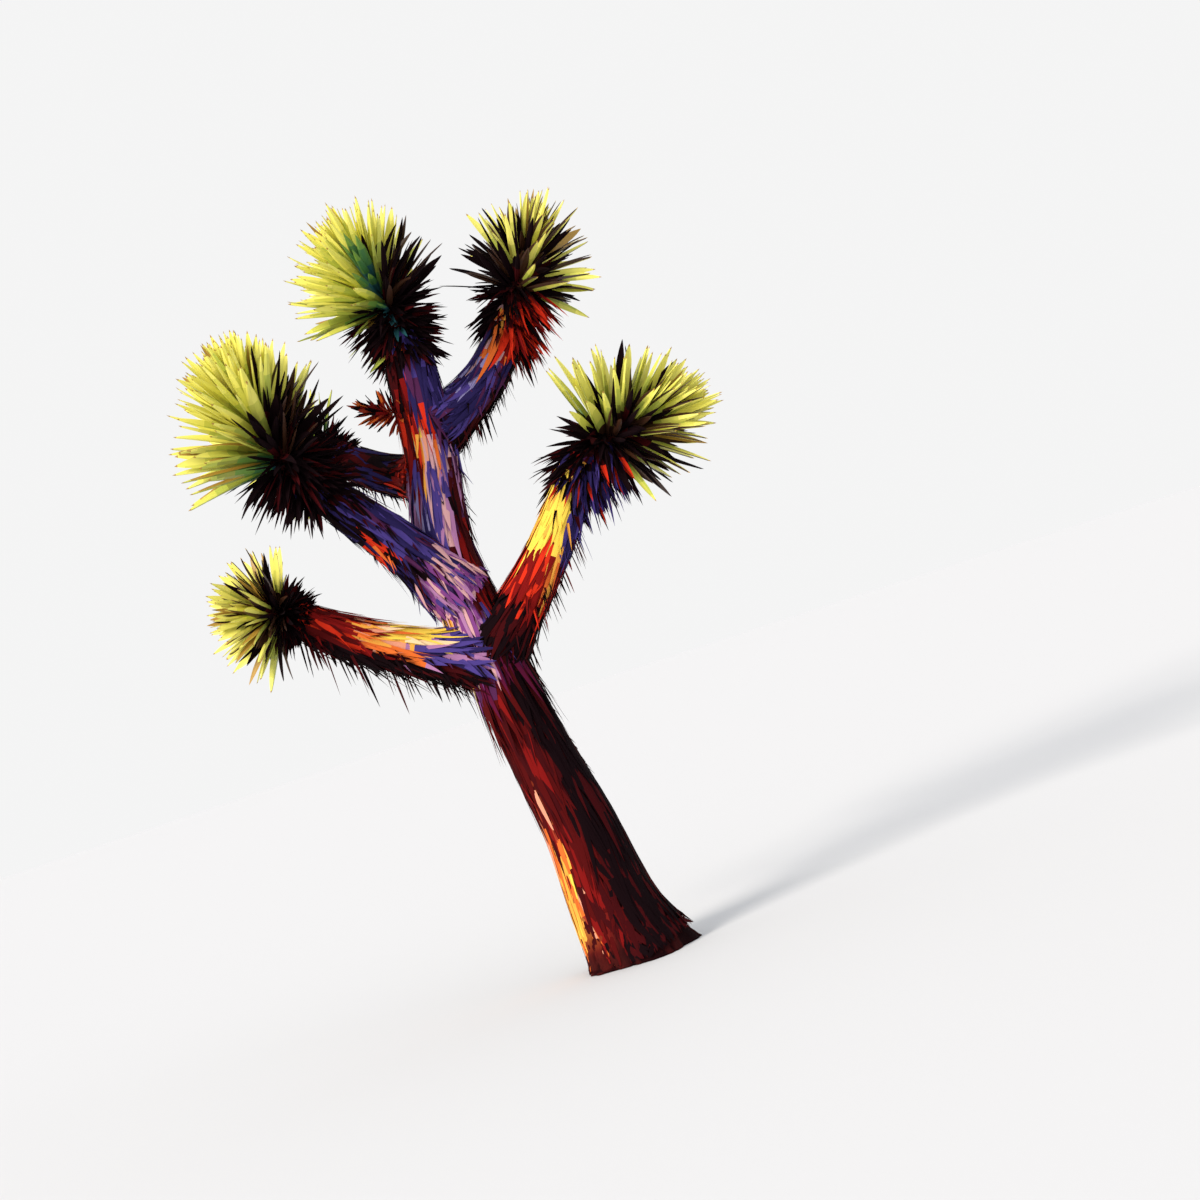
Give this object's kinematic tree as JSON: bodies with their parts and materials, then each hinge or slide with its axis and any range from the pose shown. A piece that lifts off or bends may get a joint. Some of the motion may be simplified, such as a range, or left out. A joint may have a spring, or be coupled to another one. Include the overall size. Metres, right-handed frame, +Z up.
{
  "type": "joshua tree",
  "caption": "Small desert yucca tree with a leaning shaggy trunk, forking boughs and a rosette of dagger leaves over a collar of dead ones on each limb.",
  "frame": {"origin": "centre of the flat cut under the trunk, at ground level", "axes": "+Z straight up, +X to the right as the picture shows the tree, +Y away from the viewer"},
  "size_m": [2.311, 1.5116, 3.3661],
  "materials": {
    "bark": "rough, plated and fibrous, unpainted",
    "dead_leaves": "dry, matt, weathered",
    "live_leaves": "waxy, half matt"
  },
  "bodies": {
    "root": {"trunk": "bark", "bough_right": "bark", "bough_lower_left": "bark", "bough_upper_left": "bark", "bough_back_left": "bark", "bough_upper_right": "bark", "collar_top": "dead_leaves", "collar_right": "dead_leaves", "collar_lower_left": "dead_leaves", "collar_upper_left": "dead_leaves", "collar_back_left": "dead_leaves", "collar_upper_right": "dead_leaves", "rosette_top": "live_leaves", "rosette_right": "live_leaves", "rosette_lower_left": "live_leaves", "rosette_upper_left": "live_leaves", "rosette_back_left": "live_leaves", "rosette_upper_right": "live_leaves", "side_shoot": "dead_leaves"}
  },
  "joints": []
}
